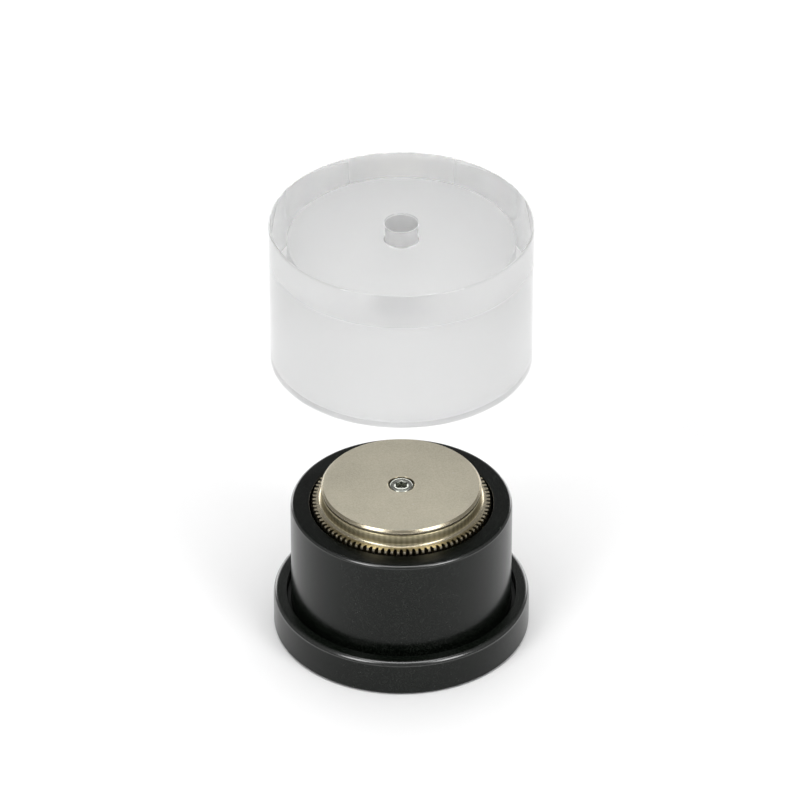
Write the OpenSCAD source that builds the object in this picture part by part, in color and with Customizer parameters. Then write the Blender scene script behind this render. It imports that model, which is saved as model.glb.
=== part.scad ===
// Hand press for watch cases: a black guide post on a heavy flange, a sprung
// table with a toothed rim, and a clear cap that slides down over the post.
// The origin is the middle of the underside, and +Z points up.

/* [Guide post and flange] */
// Outside diameter of the guide post
post_d = 49.9; // [48:0.1:56]
// Height of the post's top face above the bench
post_top = 32.5; // [32:0.5:38]
// Height of the flange's top land above the bench
flange_top = 8.8; // [8:0.2:10]
// Width of the groove between the post and the flange's land
groove_w = 1.05; // [0.8:0.05:1.2]
// Round on the flange's top edge
flange_round = 1.2; // [0.6:0.1:1.4]
// Round on the post's top edge
post_round = 0.7; // [0.4:0.1:1]

/* [Clear cap] */
// Wall thickness of the cap
cap_wall = 4; // [3:0.25:6]
// Thickness of the cap's top plate
cap_plate = 9.8; // [6:0.2:12]
// Depth of the cap's bore, from its mouth to its ceiling
cap_depth = 24.5; // [24:0.5:32]
// Diameter of the hole through the top plate
cap_hole_d = 7.2; // [5:0.1:9]
// Gap round the post when the cap slides on it
cap_clearance = 0.05; // [0.03:0.01:0.1]
// Height of the cap's rim above the bench when the cap is held lifted
cap_lift_z = 73; // [60:1:90]

/* [Table] */
// Diameter of the support disc
disc_d = 36; // [32:0.5:37]
// Thickness of the support disc
disc_t = 1.3; // [1:0.1:1.6]
// Height of the disc's top face above the post's top face
disc_rise = 4.8; // [4.8:0.1:6]
// Height of the toothed rim's top face above the post's top face
rim_rise = 0.7; // [0.4:0.1:1]
// Number of teeth on the rim
tooth_count = 90; // [60:1:96]
// Depth of the teeth
tooth_depth = 1.1; // [0.8:0.1:1.3]

/* [Press travel] */
// How far the table sinks when the cap is pressed
travel = 5; // [3:0.5:5]
// Diameter of the table's spindle
spindle_d = 8; // [7:0.5:8]
// Wire diameter of the return spring
wire_d = 1.1; // [0.8:0.1:1.2]

/* [Hidden] */
$fn = 96;

// Radii shared by the post, the flange and the cap
post_r = post_d / 2;
bore_r = post_r + cap_clearance;
cap_r = bore_r + cap_wall;
flange_r = cap_r;
land_r = post_r + groove_w;

// Levels of the base, from the bench up
rim_z = 0.3;
pad_t = 2.3;
seat_z = 5.5;
groove_z = 6.3;
pad_r = flange_r - 2.5;
fit_gap = 0.05;

// Levels and radii of the table
disc_top = post_top + disc_rise;
rim_top = post_top + rim_rise;
rim_t = 2.6;
rim_bottom = rim_top - rim_t;
disc_bottom = disc_top - disc_t;
disc_edge = 0.25;
wall_top_r = disc_d / 2 - 0.15;
wall_foot_r = disc_d / 2 + 0.05;
wall_fillet = 0.5;
root_r = disc_d / 2 + 1.15;
tip_r = root_r + tooth_depth;
tooth_gap = 0.44;
recess_r = tip_r + 0.3;
recess_z = rim_bottom - travel - 0.4;

// Spindle, bush and the stack below them
spindle_r = spindle_d / 2;
head_r = 8;
head_t = 2;
head_top = rim_bottom + 1.8;
bush_r = spindle_r + 2;
bush_len = 6.9;
bush_bottom = recess_z - bush_len;
clip_t = 0.8;
clip_top = bush_bottom - fit_gap;
clip_bottom = clip_top - clip_t;
clip_r = spindle_r + 1.8;
clip_groove_r = spindle_r - 0.7;
washer_t = 1;
washer_top = clip_bottom - fit_gap;
washer_r = 7.8;
pocket_r = 8.5;
spring_top = washer_top - washer_t;
spring_r = 6.5;
tail_z = seat_z + travel + 0.2;

// Screws
screw_r = 1.5;
screw_head_r = 2.75;
screw_head_t = 3;
screw_len = 8;
screw_key = 2.5;
foot_screw_r = 2;
foot_screw_head_r = 3.75;
foot_screw_circle_r = 16;
foot_screw_tip = 13;

// Outline of a post standing on the axis: square foot, rounded top edge.
module post_outline(r, z0, z1, round_r) {
    translate([0, z0]) square([r - round_r, z1 - z0]);
    translate([0, z0]) square([r, z1 - z0 - round_r]);
    translate([r - round_r, z1 - round_r]) circle(r = round_r);
}

// Cuts a 45 degree chamfer at the top or bottom outside edge of an outline.
module edge_cut(r, z, c, up = true) {
    s = up ? 1 : -1;
    polygon([[r - c, z + s * 0.01], [r + 0.01, z + s * 0.01], [r + 0.01, z - s * c]]);
}

// Hexagonal key hole, cut downward from z.
module key_hole(across, z, depth) {
    translate([0, 0, z - depth]) cylinder(r = across / sqrt(3), h = depth + 0.01, $fn = 6);
}

// The three places of the screws that hold the flange to the post.
module foot_screw_places() {
    for (i = [0:2]) rotate([0, 0, 90 + i * 120]) translate([foot_screw_circle_r, 0, 0]) children();
}

module base_flange() {
    color([0.10, 0.11, 0.10])
    difference() {
        rotate_extrude() difference() {
            post_outline(flange_r, rim_z, flange_top, flange_round);
            edge_cut(flange_r, rim_z, 0.4, false);
            // pad recess, seat of the post, and the groove round it
            square([pad_r + 0.1, pad_t]);
            translate([0, seat_z]) square([post_r + fit_gap, 10]);
            translate([0, groove_z]) square([land_r, 10]);
            polygon([[land_r, flange_top - 0.25], [land_r, flange_top], [land_r + 0.25, flange_top]]);
        }
        foot_screw_places() {
            cylinder(r = foot_screw_r + 0.15, h = 10);
            translate([0, 0, pad_t]) cylinder(r1 = foot_screw_head_r, r2 = foot_screw_r, h = 1.75);
        }
    }
}

module guide_post() {
    color([0.10, 0.11, 0.10])
    difference() {
        rotate_extrude() difference() {
            post_outline(post_r, seat_z, post_top, post_round);
            edge_cut(post_r, seat_z, 0.3, false);
            // recess for the table, bore for the bush, pocket for the spring
            translate([0, recess_z]) square([recess_r, 20]);
            translate([0, seat_z - 1]) square([bush_r, 30]);
            translate([0, seat_z - 1]) square([pocket_r, bush_bottom - seat_z + 1]);
        }
        foot_screw_places() translate([0, 0, seat_z - 1]) cylinder(r = foot_screw_r, h = foot_screw_tip - seat_z + 3);
    }
}

module body_screws() {
    color([0.25, 0.25, 0.26])
    foot_screw_places() difference() {
        union() {
            translate([0, 0, pad_t + 0.05]) cylinder(r1 = foot_screw_head_r - 0.05, r2 = foot_screw_r - 0.05, h = 1.75);
            translate([0, 0, pad_t + 0.5]) cylinder(r = foot_screw_r - 0.02, h = foot_screw_tip - pad_t - 0.5);
        }
        key_hole(screw_key, pad_t + 1.4, 2);
    }
}

module foot_pad() {
    color([0.06, 0.06, 0.06])
    rotate_extrude() difference() {
        square([pad_r, pad_t]);
        edge_cut(pad_r, 0, 0.3, false);
    }
}

module guide_bush() {
    color([0.72, 0.52, 0.28])
    rotate_extrude() difference() {
        translate([spindle_r + 0.03, bush_bottom]) square([bush_r - spindle_r - 0.03, bush_len]);
        edge_cut(bush_r, bush_bottom, 0.3, false);
        // lead-in at the top of the bore
        polygon([
            [spindle_r, recess_z + 0.01], [spindle_r + 0.43, recess_z + 0.01], [spindle_r, recess_z - 0.42]
        ]);
    }
}

module thrust_washer() {
    color([0.70, 0.70, 0.70])
    rotate_extrude() difference() {
        translate([spindle_r + 0.1, spring_top]) square([washer_r - spindle_r - 0.1, washer_t]);
        edge_cut(washer_r, washer_top, 0.2, true);
        edge_cut(washer_r, spring_top, 0.2, false);
    }
}

// Height of the spring's wire centre at a share t of its length: the two end
// turns lie nearly flat and the turns between them are open.
spring_turns = 6;
spring_steps = 20;
spring_len = spring_top - seat_z - wire_d;
function spring_share(t) = t < 1 / spring_turns ? 0
    : t > 1 - 1 / spring_turns ? 1
    : (t - 1 / spring_turns) / (1 - 2 / spring_turns);
function spring_end_z(t) = (t < 1 / spring_turns ? t : t > 1 - 1 / spring_turns ? t - 1 + 2 / spring_turns
    : 1 / spring_turns) * spring_turns * wire_d;
function spring_z(t) = seat_z + wire_d / 2 + spring_end_z(t) + spring_share(t) * (spring_len - 2 * wire_d);

module return_spring() {
    sides = 8;
    last = spring_turns * spring_steps;
    points = [
        for (i = [0:last]) let (t = i / last, a = 360 * spring_turns * t)
        for (k = [0:sides - 1]) let (
            b = 360 * k / sides,
            r = spring_r + wire_d / 2 * cos(b)
        ) [r * cos(a), r * sin(a), spring_z(t) + wire_d / 2 * sin(b)]
    ];
    walls = [
        for (i = [0:last - 1]) for (k = [0:sides - 1])
        let (n = (k + 1) % sides) [i * sides + k, i * sides + n, (i + 1) * sides + n, (i + 1) * sides + k]
    ];
    start_cap = [for (k = [sides - 1:-1:0]) k];
    end_cap = [for (k = [0:sides - 1]) last * sides + k];
    color([0.75, 0.76, 0.78])
    polyhedron(points, concat(walls, [start_cap], [end_cap]), convexity = 10);
}

module spindle() {
    color([0.68, 0.68, 0.68])
    difference() {
        rotate_extrude() difference() {
            union() {
                translate([0, tail_z]) square([spindle_r, head_top - tail_z]);
                translate([0, head_top - head_t]) square([head_r, head_t]);
            }
            edge_cut(spindle_r, tail_z, 0.5, false);
            edge_cut(head_r, head_top - head_t, 0.3, false);
            translate([clip_groove_r, clip_bottom - 0.03]) square([2, clip_t + 0.06]);
        }
        translate([0, 0, head_top - screw_len]) cylinder(r = screw_r, h = screw_len + 1);
    }
}

module retaining_ring() {
    color([0.30, 0.30, 0.31])
    translate([0, 0, clip_bottom]) linear_extrude(clip_t) difference() {
        circle(r = clip_r);
        circle(r = clip_groove_r + 0.03);
        // mouth that the ring is pushed on through
        translate([0, -2.2]) square([10, 4.4]);
        // reliefs that make the ring springy
        for (a = [100, 260]) rotate(a) translate([clip_groove_r + 0.7, 0]) circle(r = 0.9);
    }
}

// Corners of the toothed outline: four for each tooth.
function polar(r, a) = [r * cos(a), r * sin(a)];
function tooth_corners() = [
    for (i = [0:tooth_count - 1])
    let (
        pitch = 360 / tooth_count,
        a = i * pitch,
        half_root = pitch * (1 - tooth_gap) / 2 + pitch * 0.07,
        half_tip = pitch * (1 - tooth_gap) / 2 - pitch * 0.03
    )
    each [polar(root_r, a - half_root), polar(tip_r, a - half_tip),
        polar(tip_r, a + half_tip), polar(root_r, a + half_root)]
];

module toothed_ring() {
    color([0.62, 0.57, 0.48])
    difference() {
        union() {
            intersection() {
                translate([0, 0, rim_bottom]) linear_extrude(rim_t) polygon(tooth_corners());
                rotate_extrude() difference() {
                    translate([0, rim_bottom]) square([tip_r + 0.1, rim_t]);
                    edge_cut(tip_r, rim_top, 0.15, true);
                    edge_cut(tip_r, rim_bottom, 0.3, false);
                }
            }
            // wall that carries the disc, flaring a little towards its foot
            rotate_extrude() {
                polygon([[0, rim_top - 1], [wall_foot_r, rim_top - 1], [wall_foot_r, rim_top],
                    [wall_top_r, disc_bottom], [0, disc_bottom]]);
                difference() {
                    translate([0, rim_top - 0.1]) square([wall_foot_r + wall_fillet, wall_fillet + 0.1]);
                    translate([wall_foot_r + wall_fillet, rim_top + wall_fillet]) circle(r = wall_fillet);
                }
            }
        }
        // pocket for the spindle's head, and the screw's hole and head seat
        translate([0, 0, rim_bottom - 1]) cylinder(r = head_r + 0.05, h = head_top - rim_bottom + 1);
        cylinder(r = screw_r + 0.15, h = disc_top);
        translate([0, 0, disc_top - screw_head_t - fit_gap]) cylinder(r = screw_head_r + 0.2, h = 10);
    }
}

module support_disc() {
    color([0.68, 0.65, 0.59])
    rotate_extrude() difference() {
        translate([0, disc_bottom]) square([disc_d / 2, disc_t]);
        square([screw_head_r + 0.2, disc_top + 1]);
        edge_cut(disc_d / 2, disc_top, disc_edge, true);
        edge_cut(disc_d / 2, disc_bottom, 0.12, false);
        // small chamfer round the screw's counterbore
        polygon([
            [screw_head_r + 0.19, disc_top + 0.01], [screw_head_r + 0.41, disc_top + 0.01],
            [screw_head_r + 0.19, disc_top - 0.21]
        ]);
    }
}

module clamp_screw() {
    head_z = disc_top - screw_head_t - fit_gap;
    color([0.70, 0.71, 0.72])
    difference() {
        rotate_extrude() difference() {
            union() {
                translate([0, head_z]) square([screw_head_r, screw_head_t]);
                translate([0, head_z - screw_len]) square([screw_r - 0.02, screw_len + 0.1]);
            }
            edge_cut(screw_head_r, disc_top - fit_gap, 0.3, true);
            edge_cut(screw_r - 0.02, head_z - screw_len, 0.4, false);
        }
        key_hole(screw_key, disc_top - fit_gap, 1.7);
    }
}

module press_cap() {
    cap_h = cap_depth + cap_plate;
    color([0.92, 0.94, 0.95, 0.35])
    translate([0, 0, cap_lift_z]) rotate_extrude() difference() {
        translate([cap_hole_d / 2, 0]) square([cap_r - cap_hole_d / 2, cap_h]);
        translate([0, -1]) square([bore_r, cap_depth + 1]);
        edge_cut(cap_r, cap_h, 0.3, true);
        edge_cut(cap_r, 0, 0.3, false);
        // lead-in at the mouth, and the chamfers at both ends of the hole
        polygon([[bore_r - 0.01, -0.01], [bore_r + 0.6, -0.01], [bore_r - 0.01, 0.6]]);
        polygon([[0, cap_h + 0.01], [cap_hole_d / 2 + 0.4, cap_h + 0.01], [0, cap_h - cap_hole_d / 2 - 0.39]]);
        polygon([[0, cap_depth - 0.01], [cap_hole_d / 2 + 0.4, cap_depth - 0.01],
            [0, cap_depth + cap_hole_d / 2 + 0.39]]);
    }
}

base_flange();
guide_post();
body_screws();
foot_pad();
guide_bush();
thrust_washer();
return_spring();
spindle();
retaining_ring();
toothed_ring();
support_disc();
clamp_screw();
press_cap();
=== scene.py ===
# %% [markdown]
# # A press for watch cases
# The press is a turned tool. A black anodised post stands on a flange, a steel table with a
# toothed rim sits in its top, and a thick clear cap slides down over the post and presses the
# case that lies on the disc. The engineering model gives every place and size, so the lesson
# starts by loading it. It stays where it is, and the pieces made here are laid over it.

# %% Load the engineering model
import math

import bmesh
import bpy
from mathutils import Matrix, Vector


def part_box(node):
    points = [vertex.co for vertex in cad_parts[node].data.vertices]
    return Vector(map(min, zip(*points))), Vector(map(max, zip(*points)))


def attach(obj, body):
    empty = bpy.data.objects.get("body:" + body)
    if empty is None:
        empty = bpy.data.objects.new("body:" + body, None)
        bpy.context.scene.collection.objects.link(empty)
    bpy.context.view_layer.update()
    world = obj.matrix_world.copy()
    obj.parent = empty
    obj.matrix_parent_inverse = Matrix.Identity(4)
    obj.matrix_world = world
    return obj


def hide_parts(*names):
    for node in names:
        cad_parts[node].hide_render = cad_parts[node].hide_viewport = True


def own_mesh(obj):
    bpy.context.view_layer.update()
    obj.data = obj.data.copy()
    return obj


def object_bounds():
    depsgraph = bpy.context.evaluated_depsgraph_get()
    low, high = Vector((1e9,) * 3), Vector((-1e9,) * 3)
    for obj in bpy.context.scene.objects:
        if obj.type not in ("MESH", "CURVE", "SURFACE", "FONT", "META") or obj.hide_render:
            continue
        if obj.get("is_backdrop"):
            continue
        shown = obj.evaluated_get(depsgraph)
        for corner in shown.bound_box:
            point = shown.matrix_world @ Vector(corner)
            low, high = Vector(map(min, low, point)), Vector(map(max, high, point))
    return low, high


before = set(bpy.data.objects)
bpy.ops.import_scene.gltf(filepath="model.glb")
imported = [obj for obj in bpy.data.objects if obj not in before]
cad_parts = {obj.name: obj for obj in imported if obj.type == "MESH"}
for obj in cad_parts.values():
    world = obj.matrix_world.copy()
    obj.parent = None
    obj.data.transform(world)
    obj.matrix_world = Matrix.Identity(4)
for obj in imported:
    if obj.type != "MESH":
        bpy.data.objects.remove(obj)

# %% [markdown]
# ## Units and the starting box
# Blender works in metres and a turner works in millimetres, so one factor joins the two. The box
# of the engineering model is kept here and compared with the finished look at the end.

MM = 0.001
cad_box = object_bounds()
print("engineering box in mm:", [round(v / MM, 2) for corner in cad_box for v in corner])

# %% [markdown]
# ## The camera
# A small product is usually shot from well back with a long lens, which keeps its circles even
# and its sides upright. The camera looks at a point between the cap and the base, from a third
# of the way up, and it needs no shift because it is simply aimed at that point.

# %% The camera
def aim(thing, place, target):
    """Puts a lamp or the camera at place, looking at target, both in metres."""
    thing.location = place
    thing.rotation_euler = (target - place).to_track_quat("-Z", "Y").to_euler()


CAMERA_TARGET = Vector((-0.3, 0.0, 60.3)) * MM
CAMERA_DISTANCE = 1300 * MM
CAMERA_ELEVATION = math.radians(34.8)
CAMERA_LENS = 263.4

camera_data = bpy.data.cameras.new("camera")
camera_data.lens = CAMERA_LENS
camera_data.sensor_width = 36
camera = bpy.data.objects.new("camera", camera_data)
bpy.context.collection.objects.link(camera)
bpy.context.scene.camera = camera
camera_way = Vector((0, -math.cos(CAMERA_ELEVATION), math.sin(CAMERA_ELEVATION)))
aim(camera, CAMERA_TARGET + camera_way * CAMERA_DISTANCE, CAMERA_TARGET)
print("camera at", tuple(round(v, 3) for v in camera.location))

# %% [markdown]
# ## Writing shader sums as plain sums
# A material is a net of nodes. Adding them one by one hides what they mean, so a small class
# stands for one socket: a sum of two such wires adds the Math node by itself, and one method
# adds any other node from its kind, its settings and what goes into it.

# %% The wire class
class Wire:
    """One output socket of a material's nodes, which can be used in sums like a number."""

    def __init__(self, tree, socket=None):
        self.tree = tree
        self.socket = socket

    def node(self, kind, settings=None, inputs=None, output=0):
        """Adds a node: its settings first, then a value or a link for each input named."""
        made = self.tree.nodes.new("ShaderNode" + kind)
        for name, value in (settings or {}).items():
            if name == "stops":
                set_stops(made.color_ramp, value)
            else:
                setattr(made, name, value)
        for name, value in (inputs or {}).items():
            if isinstance(value, Wire):
                self.tree.links.new(value.socket, made.inputs[name])
            else:
                made.inputs[name].default_value = value
        return Wire(self.tree, made.outputs[output] if made.outputs else None)

    def maths(self, operation, first, second=0.0):
        return self.node("Math", {"operation": operation}, {0: first, 1: second})

    def __add__(self, other):
        return self.maths("ADD", self, other)

    def __sub__(self, other):
        return self.maths("SUBTRACT", self, other)

    def __rsub__(self, other):
        return self.maths("SUBTRACT", other, self)

    def __mul__(self, other):
        return self.maths("MULTIPLY", self, other)

    def __pow__(self, other):
        return self.maths("POWER", self, other)

    __radd__ = __add__
    __rmul__ = __mul__


def set_stops(ramp, stops):
    """Gives a colour ramp its stops: a place from 0 to 1, and a grey for each."""
    while len(ramp.elements) < len(stops):
        ramp.elements.new(1.0)
    for element, (place, grey) in zip(ramp.elements, stops):
        element.position = place
        element.color = (grey, grey, grey, 1.0)


print("wires add, subtract, multiply and raise to a power")

# %% [markdown]
# ## Where a point lies on a turned part
# Tool marks on a turned face run in rings, so a pattern needs a point's distance from the axis.
# Blasted and anodised faces have a grain that runs no way at all, so they take plain noise. All
# noise is sized in millimetres, because every object's own coordinates are the model's metres.

# %% Patterns shared by the finishes
def start(name):
    """A new material without nodes, and a wire to start its patterns from."""
    material = bpy.data.materials.new(name)
    material.use_nodes = True
    material.node_tree.nodes.clear()
    return material, Wire(material.node_tree)


def place_on(wire):
    return wire.node("TexCoord", output="Object")


def grain(wire, size, detail=2.0):
    """Noise from 0 to 1 whose grains are about size millimetres across."""
    inputs = {"Vector": place_on(wire), "Scale": 1 / (size * MM), "Detail": detail}
    return wire.node("TexNoise", {"noise_dimensions": "3D"}, inputs)


def along(wire, axis):
    """How far a point lies along X, Y or Z, in metres."""
    return wire.node("SeparateXYZ", {}, {0: place_on(wire)}, axis)


def axis_distance(wire):
    """How far a point lies from the press's axis, in metres."""
    x = along(wire, "X")
    y = along(wire, "Y")
    return (x * x + y * y) ** 0.5


def tool_marks(wire, way, pitch):
    """Fine uneven rings, about pitch millimetres apart, along way."""
    inputs = {"W": way * (1 / (pitch * MM)), "Scale": 1.0, "Detail": 3.0}
    return wire.node("TexNoise", {"noise_dimensions": "1D"}, inputs)


def mix(wire, share, first, second):
    """A colour between two colours, by a share from 0 to 1."""
    return wire.node("Mix", {"data_type": "RGBA"}, {0: share, 6: first, 7: second}, 2)


def ramp(wire, value, *stops):
    """Reshapes a value from 0 to 1 with the stops given."""
    return wire.node("ValToRGB", {"stops": stops}, {0: value})


def bump(wire, value, depth):
    """A normal that stands for a relief of depth millimetres."""
    return wire.node("Bump", {}, {"Height": value, "Distance": depth * MM})


def on_rounds(wire):
    """One where a surface faces half up, as the round of a top edge does, else nothing."""
    normal = wire.node("TexCoord", output="Normal")
    up = wire.node("SeparateXYZ", {}, {0: normal}, "Z")
    return ramp(wire, up, (0.1, 0.0), (0.35, 1.0), (0.8, 1.0), (0.98, 0.0))


def finish_with(wire, inputs):
    """Ends a material in one Principled shader with the inputs given."""
    shader = wire.node("BsdfPrincipled", {"distribution": "MULTI_GGX"}, inputs)
    wire.node("OutputMaterial", {}, {"Surface": shader})


print("patterns: grain, tool marks, height and distance from the axis")

# %% [markdown]
# ## Black anodised aluminium
# The post and the flange are blasted with fine beads and then anodised black. The oxide is dyed,
# so its colour is a very dark grey with a touch of green, and it is sealed, so it shines softly
# and mirrors more towards its outline. Noise of two sizes makes the grain, the smaller one as
# relief and the larger one as faint clouds. The coat over the rounds stands for nothing on the
# real part: it is there because the plain oxide left the bright line of an edge too dim. The
# post's top face gets the same finish with other values: it mirrors less, and its darker colour is
# painted shade.

# %% Black anodised aluminium
COAT_IOR = 1.8


def black_anodised(name="black_anodised", gloss=0.25, tone=0.0105):
    material, wire = start(name)
    fine = grain(wire, 0.42, 3.0)
    clouds = grain(wire, 9.0, 3.0)
    cloud_part = ramp(wire, clouds, (0.35, 0.0), (0.7, 1.0)) * 0.15
    fine_part = ramp(wire, fine, (0.42, 0.0), (0.66, 1.0)) * 0.85
    dark = (0.0003, 0.0012, 0.0004, 1)
    light = (tone, tone * 1.24, tone, 1)
    colour = mix(wire, cloud_part + fine_part, dark, light)
    finish_with(wire, {
        "Base Color": colour,
        "Roughness": 0.15 + clouds * 0.06 + fine * 0.06,
        "Specular IOR Level": gloss,
        "Normal": bump(wire, fine, 0.004),
        "Coat Weight": on_rounds(wire),
        "Coat Roughness": 0.2,
        "Coat IOR": COAT_IOR,
    })
    return material


# %% [markdown]
# ## Blasted steel
# The disc is steel blasted to an even matte, so that it doesn't scratch the case that lies on
# it. It is metal through and through, so its colour is the colour it mirrors: a warm grey. Use
# leaves a few small pale marks, which come from the middles of scattered cells.

# %% Blasted steel
SPECK_SPACING = 4.5


def matte_steel():
    material, wire = start("matte_steel")
    fine = grain(wire, 0.3, 4.0)
    clouds = grain(wire, 7.0, 3.0)
    fine_part = ramp(wire, fine, (0.3, 0.0), (0.7, 1.0)) * 0.7
    cloud_part = ramp(wire, clouds, (0.3, 0.0), (0.7, 1.0)) * 0.3
    colour = mix(wire, fine_part + cloud_part, (0.385, 0.357, 0.281, 1), (0.54, 0.504, 0.402, 1))
    inputs = {"Vector": place_on(wire), "Scale": 1 / (SPECK_SPACING * MM)}
    cells = wire.node("TexVoronoi", {}, inputs)
    specks = ramp(wire, cells, (0.0, 1.0), (0.045, 1.0), (0.06, 0.0))
    marked = mix(wire, specks * 0.35, colour, (0.56, 0.54, 0.50, 1))
    finish_with(wire, {
        "Base Color": marked,
        "Metallic": 1.0,
        "Roughness": 0.46 + fine * 0.14,
        "Normal": bump(wire, fine, 0.02),
    })
    return material


# %% [markdown]
# ## Polished steel
# The toothed ring is turned, cut and then polished, so it mirrors the black post below it and
# the lamps. What is left of the tool shows as very fine rings. The disc's edge is the same steel
# with a finer relief. The wall above the teeth carries a painted reflection of the teeth: a faint
# upright pattern of darker colour, one wave for each tooth, made from the angle round the axis.
# Whether it is cut into the real wall or is the teeth mirrored in it can't be told, so it is made
# as colour alone, from the angle round the axis.

# %% Polished steel
TEETH = 90
# How dark the painted reflection of the teeth makes the wall.
REFLECTION_DEPTH = 0.22


def polished_rim(name="polished_rim", gloss=0.17, relief=0.018, blue=0.36, reflected_teeth=0):
    material, wire = start(name)
    rings = tool_marks(wire, axis_distance(wire) - along(wire, "Z") * 0.7, 0.12)
    fine = grain(wire, 0.2, 3.0)
    colour = mix(wire, fine, (0.50, 0.445, blue - 0.03, 1), (0.60, 0.54, blue + 0.04, 1))
    # The painted reflection of the teeth: a darker colour in one upright wave per tooth, from the
    # angle round the axis.
    if reflected_teeth:
        turn = wire.maths("ARCTAN2", along(wire, "Y"), along(wire, "X"))
        wave = wire.maths("COSINE", turn * reflected_teeth)
        colour = mix(wire, REFLECTION_DEPTH - wave * REFLECTION_DEPTH, colour, (0.25, 0.21, blue * 0.4, 1))
    finish_with(wire, {
        "Base Color": colour,
        "Metallic": 1.0,
        "Roughness": gloss + rings * 0.08,
        "Normal": bump(wire, rings, relief),
    })
    return material


# %% [markdown]
# ## Plain steels, bronze and rubber
# The screws, the spindle and the small parts inside differ in colour, in gloss and in the pitch
# of their tool marks, so one function makes them all. The foot is rubber: no metal, hardly any
# shine, and the faint mottle of a moulded sheet.

# %% Plain steels, bronze and rubber
def turned_metal(name, dark, light, roughness, pitch):
    material, wire = start(name)
    marks = tool_marks(wire, axis_distance(wire) + along(wire, "Z"), pitch)
    fine = grain(wire, 0.25, 3.0)
    finish_with(wire, {
        "Base Color": mix(wire, marks * 0.5 + fine * 0.5, (*dark, 1), (*light, 1)),
        "Metallic": 1.0,
        "Roughness": roughness + fine * 0.08,
        "Normal": bump(wire, marks, 0.002),
    })
    return material


def foot_rubber():
    material, wire = start("foot_rubber")
    mottle = grain(wire, 0.4, 4.0)
    finish_with(wire, {
        "Base Color": mix(wire, mottle, (0.018, 0.018, 0.019, 1), (0.035, 0.035, 0.036, 1)),
        "Roughness": 0.72 + mottle * 0.15,
        "Normal": bump(wire, mottle, 0.03),
    })
    return material


# %% [markdown]
# ## Clear acrylic
# The cap is cut from cast acrylic rod. Its outside is polished until it is clear. The bore, its
# ceiling and the mouth stay as the tool left them, with fine rings that scatter the light, so
# they look pale grey through the clear wall. One function makes these tooled finishes, which
# differ in tone, in how much light they let through and in how they bend it. Real acrylic bends
# light by 1.49 everywhere. The bore's 1.2, and the three hundredths of scatter in the clear wall,
# are no property of the plastic: they were set so that the cap shows on a white ground.

# %% Clear acrylic
ACRYLIC_IOR = 1.49
BORE_IOR = 1.2
CLEAR_SHARE = 0.97


def clear_acrylic():
    material, wire = start("clear_acrylic")
    smears = grain(wire, 14.0, 3.0)
    finish_with(wire, {
        "Base Color": (0.985, 0.99, 0.99, 1),
        "Roughness": ramp(wire, smears, (0.45, 0.0), (0.8, 1.0)) * 0.03,
        "IOR": ACRYLIC_IOR,
        "Transmission Weight": CLEAR_SHARE,
    })
    return material


# A tooled face's tone is partly painted shade: a grey tone stands for shade, and white is the
# plastic's own.
def turned_acrylic(name, tone, clear, bend=ACRYLIC_IOR):
    material, wire = start(name)
    rings = tool_marks(wire, axis_distance(wire) + along(wire, "Z"), 0.25)
    finish_with(wire, {
        "Base Color": (tone, tone, tone, 1),
        "Roughness": 0.5 + rings * 0.08,
        "IOR": bend,
        "Transmission Weight": clear,
        "Normal": bump(wire, rings, 0.0006),
    })
    return material


# %% [markdown]
# ## The set of finishes
# Each finish is made once. Ten of them are the finishes that whole pieces carry. The other six
# are second finishes for a part of a piece.

# %% Make the finishes
FINISHES = {
    "black_anodised": black_anodised(),
    # A darker, duller copy for the post's top face: its darker colour is painted shade.
    "black_painted_shade": black_anodised("black_painted_shade", gloss=0.13, tone=0.006),
    "matte_steel": matte_steel(),
    "polished_rim": polished_rim(),
    "disc_edge": polished_rim("disc_edge", gloss=0.2, relief=0.01),
    # The wall above the teeth, with the teeth's reflection painted on as colour.
    "wall_painted_reflection": polished_rim("wall_painted_reflection", 0.25, 0.006, 0.32, TEETH),
    "foot_rubber": foot_rubber(),
    "clear_acrylic": clear_acrylic(),
    "turned_acrylic": turned_acrylic("turned_acrylic", 0.99, 0.2, BORE_IOR),
    # The ceiling: its rough scatter is the tooling, and its grey tone is painted shade.
    "faced_acrylic_painted_shade": turned_acrylic("faced_acrylic_painted_shade", 0.89, 0.35),
    # The hole through the plate: its dark grey tone is painted shade inside the hole.
    "drilled_acrylic_painted_shade": turned_acrylic("drilled_acrylic_painted_shade", 0.36, 1.0),
    "screw_steel": turned_metal("screw_steel", (0.30, 0.31, 0.28), (0.42, 0.43, 0.39), 0.16, 0.1),
    "turned_steel": turned_metal("turned_steel", (0.42, 0.42, 0.42), (0.58, 0.58, 0.58), 0.26, 0.2),
    "spring_steel": turned_metal("spring_steel", (0.34, 0.35, 0.37), (0.50, 0.51, 0.53), 0.28, 0.3),
    "dark_steel": turned_metal("dark_steel", (0.045, 0.045, 0.05), (0.10, 0.10, 0.105), 0.38, 0.2),
    "bronze": turned_metal("bronze", (0.46, 0.28, 0.11), (0.62, 0.40, 0.18), 0.3, 0.2),
}
print(len(FINISHES), "finishes")

# %% [markdown]
# ## Softened outlines
# A turned part is an outline swept round the axis, and no real edge is quite sharp. So an outline
# is a short list of corners, each with its distance from the axis, its height and the round on
# it in millimetres, and a helper puts an arc at each corner that has a round.

# %% Softened outlines
def arc_points(before, corner, after, radius, steps):
    """Points of the arc that rounds a corner between its two neighbours."""
    to_before = (before - corner).normalized()
    to_after = (after - corner).normalized()
    half = to_before.angle(to_after) / 2
    centre = corner + (to_before + to_after).normalized() * (radius / math.sin(half))
    first = corner + to_before * (radius / math.tan(half)) - centre
    last = corner + to_after * (radius / math.tan(half)) - centre
    turn = first.angle_signed(last)
    return [centre + turned(first, -turn * i / steps) for i in range(steps + 1)]


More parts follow.
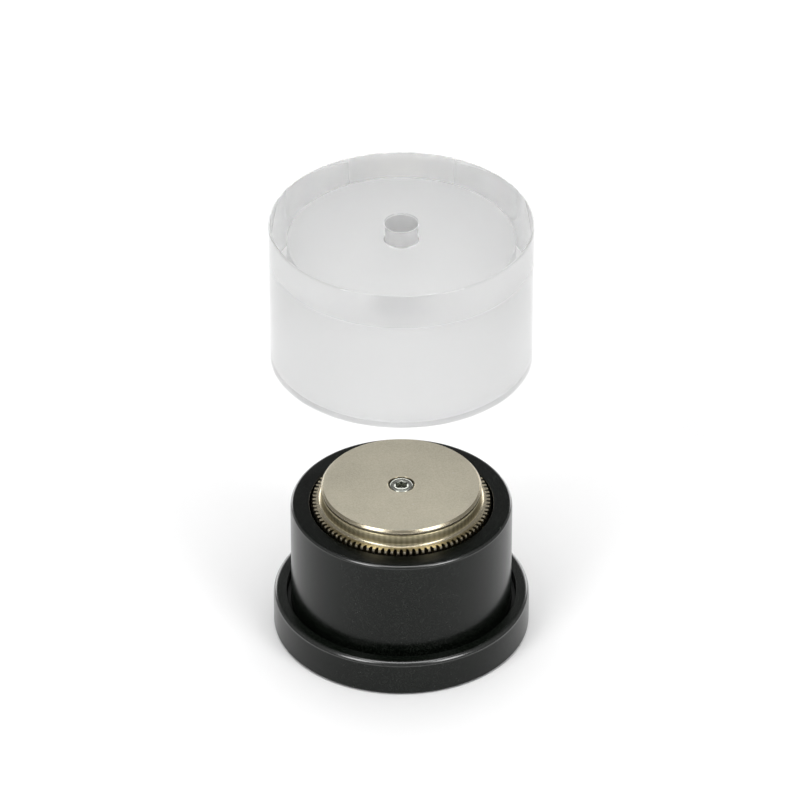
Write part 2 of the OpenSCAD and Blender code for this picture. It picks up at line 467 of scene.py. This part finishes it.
def turned(vector, angle):
    """A flat vector turned by an angle, anticlockwise."""
    cos, sin = math.cos(angle), math.sin(angle)
    return Vector((vector.x * cos - vector.y * sin, vector.x * sin + vector.y * cos))


def soften(corners, steps=5, closed=True):
    """(radius, height) pairs for (radius, height, round) corners, with arcs for the rounds."""
    places = [Vector(corner[:2]) for corner in corners]
    points = []
    for i, (place, corner) in enumerate(zip(places, corners)):
        on_end = not closed and i in (0, len(corners) - 1)
        if len(corner) < 3 or on_end:
            points.append(place)
        else:
            points += arc_points(places[i - 1], place, places[(i + 1) % len(places)], corner[2], steps)
    return [(point.x, point.y) for point in points]


sample = soften([(0, 0), (2, 0, 1), (2, 2), (0, 2)])
print("a square corner of round 1 becomes", len(sample) - 3, "points")

# %% [markdown]
# ## A lathe in code
# The lathe turns an outline into a mesh. Each ring of the mesh has a radius and a height, and
# the radius may be a rule that depends on the angle, so the same lathe also cuts teeth, hexagon
# sockets and screw threads. Edges sharper than a set angle are marked sharp, and the rest of the
# mesh is shaded smooth, with flats that stay flat. One more helper gives some faces of a piece
# another finish, because a real part is often polished here and left as cut there.

# %% The lathe
SHARP_ANGLE = math.radians(40)


def evenly(count):
    """Angles round a full turn."""
    return [math.tau * i / count for i in range(count)]


def ring_of(mesh, radius, height, angles):
    """A ring of points, or the one point on the axis where the radius is nothing."""
    if radius == 0:
        return [mesh.verts.new((0, 0, height * MM))]
    points = []
    for angle in angles:
        far = (radius(angle) if callable(radius) else radius) * MM
        points.append(mesh.verts.new((far * math.cos(angle), far * math.sin(angle), height * MM)))
    return points


def bridge(mesh, lower, upper):
    """Faces between two rings, either of which may be a point on the axis."""
    count = max(len(lower), len(upper))
    for i in range(count):
        j = (i + 1) % count
        around = [lower[i % len(lower)], lower[j % len(lower)]]
        around += [upper[j % len(upper)], upper[i % len(upper)]]
        corners = [corner for k, corner in enumerate(around) if corner not in around[:k]]
        mesh.faces.new(corners)


def hold_flats(piece):
    """Lets the large faces keep their own shading, so only the rounds between them turn."""
    piece.modifiers.new("hold_flats", "WEIGHTED_NORMAL").keep_sharp = True


def finished(name, mesh, body, finish):
    """Turns a bmesh into a smooth-shaded piece that rides on a body."""
    bmesh.ops.recalc_face_normals(mesh, faces=mesh.faces)
    data = bpy.data.meshes.new(name)
    mesh.to_mesh(data)
    mesh.free()
    data.shade_smooth()
    data.set_sharp_from_angle(angle=SHARP_ANGLE)
    data.materials.append(FINISHES[finish])
    piece = bpy.data.objects.new(name, data)
    bpy.context.collection.objects.link(piece)
    hold_flats(piece)
    print(name, "has", len(data.polygons), "faces")
    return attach(piece, body)


def lathe(name, rings, body, finish, angles=None, closed=True):
    """A turned piece. An open outline starts and ends on the axis."""
    angles = angles or evenly(192)
    mesh = bmesh.new()
    loops = [ring_of(mesh, radius, height, angles) for radius, height in rings]
    for lower, upper in zip(loops, loops[1:]):
        bridge(mesh, lower, upper)
    if closed:
        bridge(mesh, loops[-1], loops[0])
    return finished(name, mesh, body, finish)


def also_finish(piece, finish, chosen):
    """Gives the faces that a rule picks, by centre and normal, another material."""
    piece.data.materials.append(FINISHES[finish])
    count = 0
    for face in piece.data.polygons:
        if chosen(face.center / MM, face.normal):
            face.material_index = len(piece.data.materials) - 1
            count += 1
    print(piece.name, "has", count, "faces of", finish)


# %% [markdown]
# ## Reading sizes from the engineering model
# The new pieces have to sit exactly where the engineering parts sit. The outer sizes come from
# each part's box, and the few inner sizes that a box can't show are named with their piece.

# %% Sizes
def reach(node):
    """Outer radius of a turned part, in millimetres."""
    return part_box(node)[1].x / MM


def foot(node):
    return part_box(node)[0].z / MM


def top(node):
    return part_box(node)[1].z / MM


POST_R = reach("guide_post")
POST_FOOT = foot("guide_post")
POST_TOP = top("guide_post")
FLANGE_R = reach("base_flange")
FLANGE_TOP = top("base_flange")
RIM_HEIGHT = 2.6
RIM_FOOT = foot("toothed_ring")
RIM_TOP = RIM_FOOT + RIM_HEIGHT
TIP_R = reach("toothed_ring")
DISC_R = reach("support_disc")
DISC_FOOT = foot("support_disc")
DISC_TOP = top("support_disc")
CAP_R = reach("press_cap")
CAP_FOOT = foot("press_cap")
CAP_TOP = top("press_cap")
PAD_R = reach("foot_pad")
PAD_T = top("foot_pad")
print("post", POST_R, "flange", FLANGE_R, "disc", DISC_R, "cap", CAP_R)

# %% [markdown]
# ## Drilling for the three screws
# Three screws hold the flange to the post, and both are drilled for them on one circle. A hole
# could be modelled point by point, but a Boolean that takes a turned cutter away is closer to
# what a drill does. Its result is kept at once, because a later step picks faces of the mesh.

# %% Drilling
SCREW_CIRCLE = 16.0
SCREW_TURNS = [math.radians(90 + 120 * i) for i in range(3)]


def drill(piece, outline):
    """Cuts the same turned shape out of a piece at each of the three screws."""
    piece.modifiers.clear()
    cutters = []
    for turn in SCREW_TURNS:
        cutter = lathe("cutter", outline, "base", "dark_steel", evenly(48), closed=False)
        cutter.parent = None
        cutter.location = Vector((math.cos(turn), math.sin(turn), 0)) * SCREW_CIRCLE * MM
        cut = piece.modifiers.new("drill", "BOOLEAN")
        cut.object = cutter
        cut.solver = "EXACT"
        cutters.append(cutter)
    settle(piece)
    hold_flats(piece)
    for cutter in cutters:
        bpy.data.objects.remove(cutter)


def settle(piece):
    """Keeps a piece's mesh as its modifiers leave it, and takes the modifiers off."""
    bpy.context.view_layer.update()
    depsgraph = bpy.context.evaluated_depsgraph_get()
    piece.data = bpy.data.meshes.new_from_object(piece.evaluated_get(depsgraph))
    piece.modifiers.clear()


# %% [markdown]
# ## The flange
# The flange is a shallow cup. Its outer edge has a generous round that catches the lamps, its
# land is flat and as wide as the cap's wall, and a narrow groove runs round the post inside it.
# It is turned here from one outline, and three countersunk holes are cut from below, as they
# would be drilled in a real one.

# %% The flange
GROOVE_WIDTH = 1.05
FIT_GAP = 0.05
LAND_R = POST_R + GROOVE_WIDTH
SEAT_R = POST_R + FIT_GAP
GROOVE_Z = 6.3
SCREW_HEAD_R = 3.75
SCREW_HOLE_R = 2.15
SINK_DEPTH = 1.6

flange = lathe("flange", soften([
    (0, POST_FOOT), (SEAT_R, POST_FOOT, 0.1), (SEAT_R, GROOVE_Z, 0.1), (LAND_R, GROOVE_Z, 0.25),
    (LAND_R, FLANGE_TOP, 0.3), (FLANGE_R, FLANGE_TOP, 1.2), (FLANGE_R, foot("base_flange"), 0.4),
    (PAD_R + 0.1, foot("base_flange"), 0.15), (PAD_R + 0.1, PAD_T, 0.1), (0, PAD_T),
], closed=False), "base", "black_anodised", evenly(256), closed=False)
drill(flange, [
    (0, PAD_T - 0.1), (SCREW_HEAD_R, PAD_T - 0.1), (SCREW_HEAD_R, PAD_T),
    (SCREW_HOLE_R, PAD_T + SINK_DEPTH), (SCREW_HOLE_R, POST_FOOT + 0.1), (0, POST_FOOT + 0.1),
])
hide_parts("base_flange")

# %% [markdown]
# ## The guide post
# The cap slides on the post's wall, so the wall is straight and only the top edge is rounded.
# Its top holds a recess in which the table sinks, and below that a bore for the bush and a
# pocket for the spring. The flat top gets a duller black whose darker colour is painted shade.

# %% The guide post
RECESS_GAP = 0.5
RECESS_R = TIP_R + RECESS_GAP
RECESS_Z = top("guide_bush")
BUSH_R = reach("guide_bush")
BUSH_FOOT = foot("guide_bush")
POCKET_R = 8.5
TAP_R = 2.0
TAP_END = 14.5
TAP_POINT = 15.6

post = lathe("post", soften([
    (POCKET_R, POST_FOOT, 0.2), (POST_R, POST_FOOT, 0.3), (POST_R, POST_TOP, 0.85),
    (RECESS_R, POST_TOP, 0.12), (RECESS_R, RECESS_Z, 0.3), (BUSH_R, RECESS_Z, 0.1),
    (BUSH_R, BUSH_FOOT, 0.1), (POCKET_R, BUSH_FOOT, 0.3),
]), "base", "black_anodised", evenly(256))
drill(post, [(0, POST_FOOT - 0.1), (TAP_R, POST_FOOT - 0.1), (TAP_R, TAP_END), (0, TAP_POINT)])
# The flat top takes the darker copy, whose darker colour is painted shade.
also_finish(post, "black_painted_shade", lambda centre, normal: centre.z > POST_TOP - 0.05)
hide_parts("guide_post")

# %% [markdown]
# ## The toothed ring
# Ninety fine teeth run round the ring's foot, though the real ring may have one or two fewer.
# They are milled straight down, so each ring of the mesh has the same tooth rule, only shallower
# at the bevelled ends. The angles bunch up at the flanks of the teeth, where the shape turns, and
# leave the flat tips and roots alone. A wall rises inside them with a hollow at its foot, and
# carries the disc. That wall gets the finish with the painted reflection of the teeth.

# %% The toothed ring
TOOTH_DEPTH = 1.1
TOOTH_HALF = 0.34
FLANK = 0.15
BEVEL = 0.3
TOP_BEVEL_HEIGHT = 0.75
ROOT_R = TIP_R - TOOTH_DEPTH
TOOTH_STEPS = (-0.5, -0.42, -0.34, -0.29, -0.24, -0.19, -0.1, 0.1, 0.19, 0.24, 0.29, 0.34, 0.42)
TOOTH_ANGLES = [(i + step) * math.tau / TEETH for i in range(TEETH) for step in TOOTH_STEPS]


def tooth(depth):
    """A rule for the ring's radius: full depth on a tooth, nothing between two teeth."""
    def radius(angle):
        share = angle * TEETH / math.tau
        from_middle = abs(share - round(share))
        rise = min(max((TOOTH_HALF - from_middle) / FLANK, 0), 1)
        return ROOT_R + depth * rise * rise * (3 - 2 * rise)
    return radius


WALL_FOOT_R = DISC_R + 0.05
WALL_TOP_R = DISC_R
HEAD_SEAT_R = 2.95
HEAD_SEAT_Z = 34.25
SHANK_HOLE_R = 1.65
SPINDLE_SEAT_R = 8.05
SPINDLE_SEAT_Z = 32.4
wall = soften([
    (ROOT_R, RIM_TOP), (WALL_FOOT_R, RIM_TOP, 0.75), (WALL_TOP_R, DISC_FOOT, 0.3),
    (HEAD_SEAT_R, DISC_FOOT), (HEAD_SEAT_R, HEAD_SEAT_Z), (SHANK_HOLE_R, HEAD_SEAT_Z),
    (SHANK_HOLE_R, SPINDLE_SEAT_Z), (SPINDLE_SEAT_R, SPINDLE_SEAT_Z),
    (SPINDLE_SEAT_R, RIM_FOOT, 0.2), (ROOT_R - 1.0, RIM_FOOT),
], closed=False)
rim = [
    (tooth(TOOTH_DEPTH - BEVEL), RIM_FOOT), (tooth(TOOTH_DEPTH), RIM_FOOT + BEVEL),
    (tooth(TOOTH_DEPTH), RIM_TOP - TOP_BEVEL_HEIGHT), (tooth(TOOTH_DEPTH - BEVEL), RIM_TOP),
]
ring = lathe("toothed_carrier", wall[1:] + rim, "table", "polished_rim", TOOTH_ANGLES)
# The wall above the teeth takes the finish with the painted reflection of the teeth.
also_finish(ring, "wall_painted_reflection", lambda centre, normal: centre.z > RIM_TOP + 0.3)
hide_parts("toothed_ring")

# %% [markdown]
# ## The support disc
# A plain washer-like disc, matte on top, with a polished band round its edge and a narrow
# chamfer above it that catches the lamps. Band and chamfer need their own finish, so every face
# that doesn't lie flat gets a second material.

# %% The support disc
CHAMFER_WIDTH = 0.42
CHAMFER_HEIGHT = 0.5

disc = lathe("disc", soften([
    (HEAD_SEAT_R, DISC_FOOT), (DISC_R, DISC_FOOT, 0.2), (DISC_R, DISC_TOP - CHAMFER_HEIGHT, 0.1),
    (DISC_R - CHAMFER_WIDTH, DISC_TOP, 0.1), (HEAD_SEAT_R, DISC_TOP, 0.2),
]), "table", "matte_steel", evenly(256))
also_finish(disc, "disc_edge", lambda centre, normal: abs(normal.z) < 0.97)
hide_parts("support_disc")

# %% [markdown]
# ## The clamp screw
# The screw in the disc's middle is a lathe part with a hexagon broached in. The hexagon is a rule for
# the radius: the distance to a flat, divided by the cosine of the angle from the middle of that
# flat. The thread is a rule too, a wave that climbs by one pitch in each turn.

# %% The clamp screw
SCREW_ANGLES = evenly(96)


def hexagon(across):
    """A rule for the radius of a hexagon, from its size across the flats."""
    def radius(angle):
        from_flat = (angle + math.pi / 6) % (math.pi / 3) - math.pi / 6
        return across / 2 / math.cos(from_flat)
    return radius


def knurl(radius, depth, count):
    """A rule for a finely ridged wall."""
    return lambda angle: radius - depth * (0.5 + 0.5 * math.cos(angle * count))


def thread(radius, pitch, tip, head):
    """Rings of a thread from its tip to below the head, six to a pitch."""
    depth = 0.6 * pitch
    rings = []
    steps = int(abs(head - tip) / pitch * 6)
    for i in range(steps + 1):
        z = tip + (head - tip) * i / steps
        fade = min(1, i / 8, (steps - i) / 4)

        def ridge(angle, z=z, fade=fade):
            wave = abs((z / pitch - angle / math.tau) % 1 * 2 - 1)
            return radius - depth * fade * wave
        rings.append((ridge, z))
    return rings


HEAD_R = reach("clamp_screw")
HEAD_TOP = top("clamp_screw")
HEAD_HEIGHT = 3.0
HEAD_FOOT = HEAD_TOP - HEAD_HEIGHT
SCREW_TIP = foot("clamp_screw")
THREAD_R = 1.46
THREAD_PITCH = 0.5
KEY = 2.5
ridges = knurl(HEAD_R, 0.05, 48)

clamp = lathe("socket_screw", [
    (0, SCREW_TIP), (0.9, SCREW_TIP),
    *thread(THREAD_R, THREAD_PITCH, SCREW_TIP + 0.35, HEAD_FOOT - 0.2),
    (THREAD_R, HEAD_FOOT), (HEAD_R - 0.1, HEAD_FOOT), (ridges, HEAD_FOOT + 0.15),
    (ridges, HEAD_TOP - 0.5), (HEAD_R - 0.02, HEAD_TOP - 0.36), (HEAD_R - 0.1, HEAD_TOP - 0.2),
    (HEAD_R - 0.3, HEAD_TOP - 0.04), (HEAD_R - 0.42, HEAD_TOP), (1.62, HEAD_TOP),
    (1.5, HEAD_TOP - 0.06), (hexagon(KEY), HEAD_TOP - 0.22), (hexagon(KEY), HEAD_TOP - 1.6),
    (1.0, HEAD_TOP - 1.7), (0, HEAD_TOP - 2.1),
], "table", "screw_steel", SCREW_ANGLES, closed=False)
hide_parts("clamp_screw")

# %% [markdown]
# ## The clear cap
# The cap is turned from solid rod, so its section is a thick plate with a thick wall below it.
# Its outside is polished. The bore and the mouth are left as turned, the ceiling as faced and
# the hole through the plate as drilled, so the cap has four finishes, and rules on where a face
# lies pick them. The grey of the ceiling and the dark grey of the hole are painted shade. The
# ceiling also passes the bore's rule, so its own rule comes after.

# %% The clear cap
CAP_CLEARANCE = 0.05
BORE_R = POST_R + CAP_CLEARANCE
BORE_DEPTH = 24.5
CEILING = CAP_FOOT + BORE_DEPTH
HOLE_R = 3.6
LEAD_IN_WIDTH = 0.3
LEAD_IN_HEIGHT = 0.6

cap = lathe("clear_cap", soften([
    (BORE_R + LEAD_IN_WIDTH, CAP_FOOT, 0.2), (CAP_R, CAP_FOOT, 0.22), (CAP_R, CAP_TOP, 0.55),
    (HOLE_R, CAP_TOP, 0.4), (HOLE_R, CEILING, 0.4), (BORE_R, CEILING, 0.3),
    (BORE_R, CAP_FOOT + LEAD_IN_HEIGHT, 0.2),
], steps=8), "cap", "clear_acrylic", evenly(512))


def is_turned(centre, normal):
    """True in the bore, on its ceiling and on the mouth's flat rim."""
    in_bore = math.hypot(centre.x, centre.y) < BORE_R + 0.35 and centre.z < CEILING + 0.02
    return in_bore or centre.z < CAP_FOOT + 0.02


def is_faced(centre, normal):
    """True on the ceiling alone."""
    return is_turned(centre, normal) and centre.z > CEILING - 0.1


def is_drilled(centre, normal):
    """True in the hole through the plate, between the rounds at its two mouths."""
    return math.hypot(centre.x, centre.y) < HOLE_R + 0.02 and CEILING + 0.3 < centre.z < CAP_TOP - 0.3


also_finish(cap, "turned_acrylic", is_turned)
# The ceiling's and the hole's finishes carry painted shade in their tones.
also_finish(cap, "faced_acrylic_painted_shade", is_faced)
also_finish(cap, "drilled_acrylic_painted_shade", is_drilled)
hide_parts("press_cap")

# %% [markdown]
# ## The foot
# A thin disc of rubber is glued into the flange, and hides the screws. Its underside has rings
# of fine ribs, which grip a polished bench top.

# %% The foot
RIB_PITCH = 2.0
RIB_DEPTH = 0.45
FIRST_RIB = 2.0


def ribbed_face(outer):
    """Rings of flat ribs from the middle of the underside outwards."""
    points = [(0, RIB_DEPTH), (FIRST_RIB, RIB_DEPTH)]
    radius = FIRST_RIB
    while radius < outer - RIB_PITCH:
        points += [(radius + 0.15, 0), (radius + 1.35, 0)]
        points += [(radius + 1.5, RIB_DEPTH), (radius + RIB_PITCH, RIB_DEPTH)]
        radius += RIB_PITCH
    return points


pad = lathe("rubber_foot", ribbed_face(PAD_R) + [
    (PAD_R - 0.6, RIB_DEPTH), (PAD_R - 0.45, 0), (PAD_R - 0.15, 0), (PAD_R, 0.2),
    (PAD_R, PAD_T), (0, PAD_T),
], "base", "foot_rubber", closed=False)
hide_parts("foot_pad")

# %% [markdown]
# ## The return spring
# The spring is a wire wound in a helix whose end turns lie flat. The wire's round section is
# carried along the winding, square to it. When the table sinks, the real spring is squeezed
# against the flange's floor; the spring made here rides on the base and keeps its shape.

# %% The return spring
SPRING_FOOT = foot("return_spring")
SPRING_TOP = top("return_spring")
WIRE_R = 0.55
COIL_R = reach("return_spring") - WIRE_R
COIL_TURNS = 6


def winding_height(share):
    """Height of the wire's middle along the winding: slow in the end turns, fast between."""
    ends = 1 / COIL_TURNS
    rise = min(max((share - ends) / (1 - 2 * ends), 0), 1)
    flat = min(share, ends) + max(share - 1 + ends, 0)
    open_part = SPRING_TOP - SPRING_FOOT - 2 * WIRE_R - 4 * WIRE_R
    return SPRING_FOOT + WIRE_R + flat * COIL_TURNS * 2 * WIRE_R + rise * open_part


def wound_spring():
    mesh = bmesh.new()
    steps, sides = COIL_TURNS * 48, 14
    rings = []
    for i in range(steps + 1):
        turn = math.tau * COIL_TURNS * i / steps
        z = winding_height(i / steps)
        out = Vector((math.cos(turn), math.sin(turn), 0))
        centre = out * COIL_R + Vector((0, 0, z))
        ring_points = []
        for k in range(sides):
            angle = math.tau * k / sides
            lift = Vector((0, 0, WIRE_R * math.sin(angle)))
            place = centre + out * (WIRE_R * math.cos(angle)) + lift
            ring_points.append(mesh.verts.new(place * MM))
        rings.append(ring_points)
    for lower, upper in zip(rings, rings[1:]):
        bridge(mesh, lower, upper)
    mesh.faces.new(rings[0])
    mesh.faces.new(rings[-1])
    return finished("wound_spring", mesh, "base", "spring_steel")


spring = wound_spring()
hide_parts("return_spring")
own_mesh(spring)

# %% [markdown]
# ## Parts kept from the engineering model
# The spindle, its bush, the washer, the retaining ring and the foot screws are right as they
# are, so they keep their own meshes and only get a finish.

# %% Finishes for the kept parts
KEPT = {
    "spindle": "turned_steel", "thrust_washer": "turned_steel", "guide_bush": "bronze",
    "retaining_ring": "dark_steel", "body_screws": "dark_steel",
}
for node, finish in KEPT.items():
    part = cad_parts[node]
    part.data.materials.clear()
    part.data.materials.append(FINISHES[finish])
    print(node, "is", finish)

# %% [markdown]
# ## The floor
# A pale sheet carries the press and runs four metres out, so that from the camera's height its
# edge doesn't show. From nearly level it does, with the sky above it.

# %% The floor
FLOOR_RADIUS = 4.0


def pale_floor():
    material, wire = start("pale_floor")
    mottle = grain(wire, 300.0, 2.0)
    finish_with(wire, {
        "Base Color": mix(wire, mottle, (0.89, 0.89, 0.89, 1), (0.91, 0.91, 0.91, 1)),
        "Roughness": 0.9,
        "Specular IOR Level": 0.1,
    })
    mesh = bmesh.new()
    bmesh.ops.create_circle(mesh, cap_ends=True, radius=FLOOR_RADIUS, segments=96)
    data = bpy.data.meshes.new("floor")
    mesh.to_mesh(data)
    mesh.free()
    data.materials.append(material)
    floor = bpy.data.objects.new("floor", data)
    bpy.context.collection.objects.link(floor)
    floor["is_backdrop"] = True


pale_floor()

# %% [markdown]
# ## Soft light
# Two soft boxes stand to the left and the right in front of the press, so the black rounds
# mirror them as two bright arcs with a dark gap between. A third hangs above and fills the
# floor. A wide low panel at the back lights the cap from behind, and gives the disc something
# bright to mirror at a slant. A pale sky does the rest.

# %% Soft light
SKY_STRENGTH = 0.29
LIGHT_TARGET = Vector((0, 0, 40)) * MM


def soft_box(name, turn, lift, distance, size, power):
    """A soft box, turned from the front and lifted from the floor by so many degrees."""
    data = bpy.data.lights.new(name, "AREA")
    data.shape = "RECTANGLE"
    data.size, data.size_y = size
    data.energy = power
    lamp = bpy.data.objects.new(name, data)
    bpy.context.collection.objects.link(lamp)
    turn, lift = math.radians(turn), math.radians(lift)
    way = Vector((math.sin(turn) * math.cos(lift), -math.cos(turn) * math.cos(lift), math.sin(lift)))
    aim(lamp, LIGHT_TARGET + way * distance, LIGHT_TARGET)
    print(name, "gives", power, "W")


soft_box("left_box", -42, 42, 1.6, (0.55, 0.8), 7.8)
soft_box("right_box", 46, 42, 1.6, (0.55, 0.8), 7.6)
soft_box("top_box", 0, 88, 2.6, (1.6, 1.6), 38)
soft_box("back_panel", 180, 13, 2.4, (3.8, 1.1), 38)

sky = bpy.data.worlds.new("sky")
sky.use_nodes = True
sky.node_tree.nodes["Background"].inputs["Color"].default_value = (1, 1, 1, 1)
sky.node_tree.nodes["Background"].inputs["Strength"].default_value = SKY_STRENGTH
bpy.context.scene.world = sky
bpy.context.scene.view_settings.view_transform = "Standard"

# %% [markdown]
# ## Compare the boxes
# The finished look has to fill the same box as the engineering model. The look's box is measured
# and its difference from the first box is printed.

# %% Compare the sizes
look_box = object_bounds()
differences = [(b - a) / MM for c, d in zip(cad_box, look_box) for a, b in zip(c, d)]
print("difference in mm:", [round(value, 3) for value in differences])
